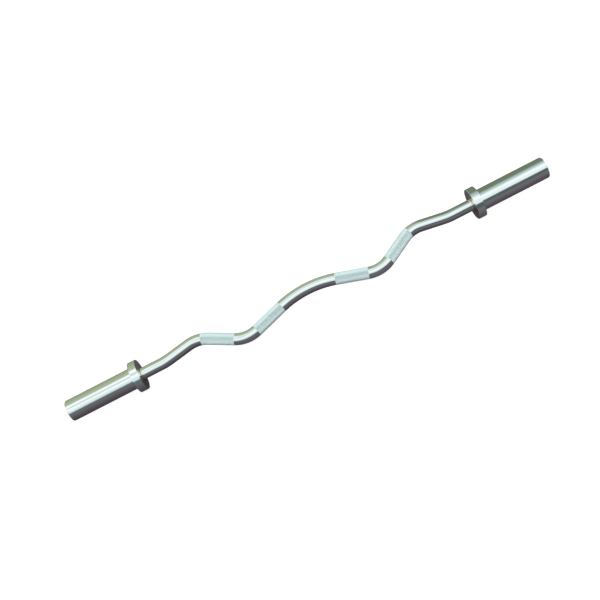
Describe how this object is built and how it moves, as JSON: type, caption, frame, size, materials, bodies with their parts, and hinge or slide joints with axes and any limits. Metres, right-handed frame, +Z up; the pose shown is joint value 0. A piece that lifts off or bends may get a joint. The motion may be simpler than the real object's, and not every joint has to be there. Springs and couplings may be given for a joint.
{
  "type": "ez curl bar",
  "caption": "Zigzag-bent weightlifting bar with knurled grips and free-turning sleeves at both ends, each with a stop collar for plates.",
  "frame": {"origin": "on the sleeves' common axis, midway between the sleeves' ends", "axes": "+X along the sleeves towards the right one, +Z up with the bar lying on a floor on its collars and the low bends of its shaft, +Y square to both"},
  "size_m": [1.2, 0.0803, 0.073],
  "materials": {
    "chrome_shaft": "polished chrome plate, satin on the knurled bands",
    "chrome_sleeve": "polished chrome plate over turned steel",
    "chrome_collar": "polished chrome plate over turned steel",
    "bronze": "turned sintered bronze, lightly oiled",
    "nylon": "natural nylon",
    "zinc_steel": "bright zinc plate",
    "black_steel": "black oxide, oiled"
  },
  "bodies": {
    "shaft": {"curl_shaft": "chrome_shaft", "right_inner_thrust_washer": "nylon", "left_inner_thrust_washer": "nylon", "right_outer_thrust_washer": "nylon", "left_outer_thrust_washer": "nylon", "right_retaining_washer": "zinc_steel", "left_retaining_washer": "zinc_steel", "right_lock_washer": "zinc_steel", "left_lock_washer": "zinc_steel", "right_end_screw": "black_steel", "left_end_screw": "black_steel"},
    "right_sleeve": {"right_sleeve_tube": "chrome_sleeve", "right_stop_collar": "chrome_collar", "right_bearing_hub": "zinc_steel", "right_inner_bush": "bronze", "right_outer_bush": "bronze"},
    "left_sleeve": {"left_sleeve_tube": "chrome_sleeve", "left_stop_collar": "chrome_collar", "left_bearing_hub": "zinc_steel", "left_inner_bush": "bronze", "left_outer_bush": "bronze"}
  },
  "joints": [
    {"name": "right_sleeve_spin", "type": "hinge", "parent": "shaft", "child": "right_sleeve", "pos_m": [0.508, 0, 0], "axis": [1, 0, 0], "continuous": true},
    {"name": "left_sleeve_spin", "type": "hinge", "parent": "shaft", "child": "left_sleeve", "pos_m": [-0.508, 0, 0], "axis": [1, 0, 0], "continuous": true}
  ]
}
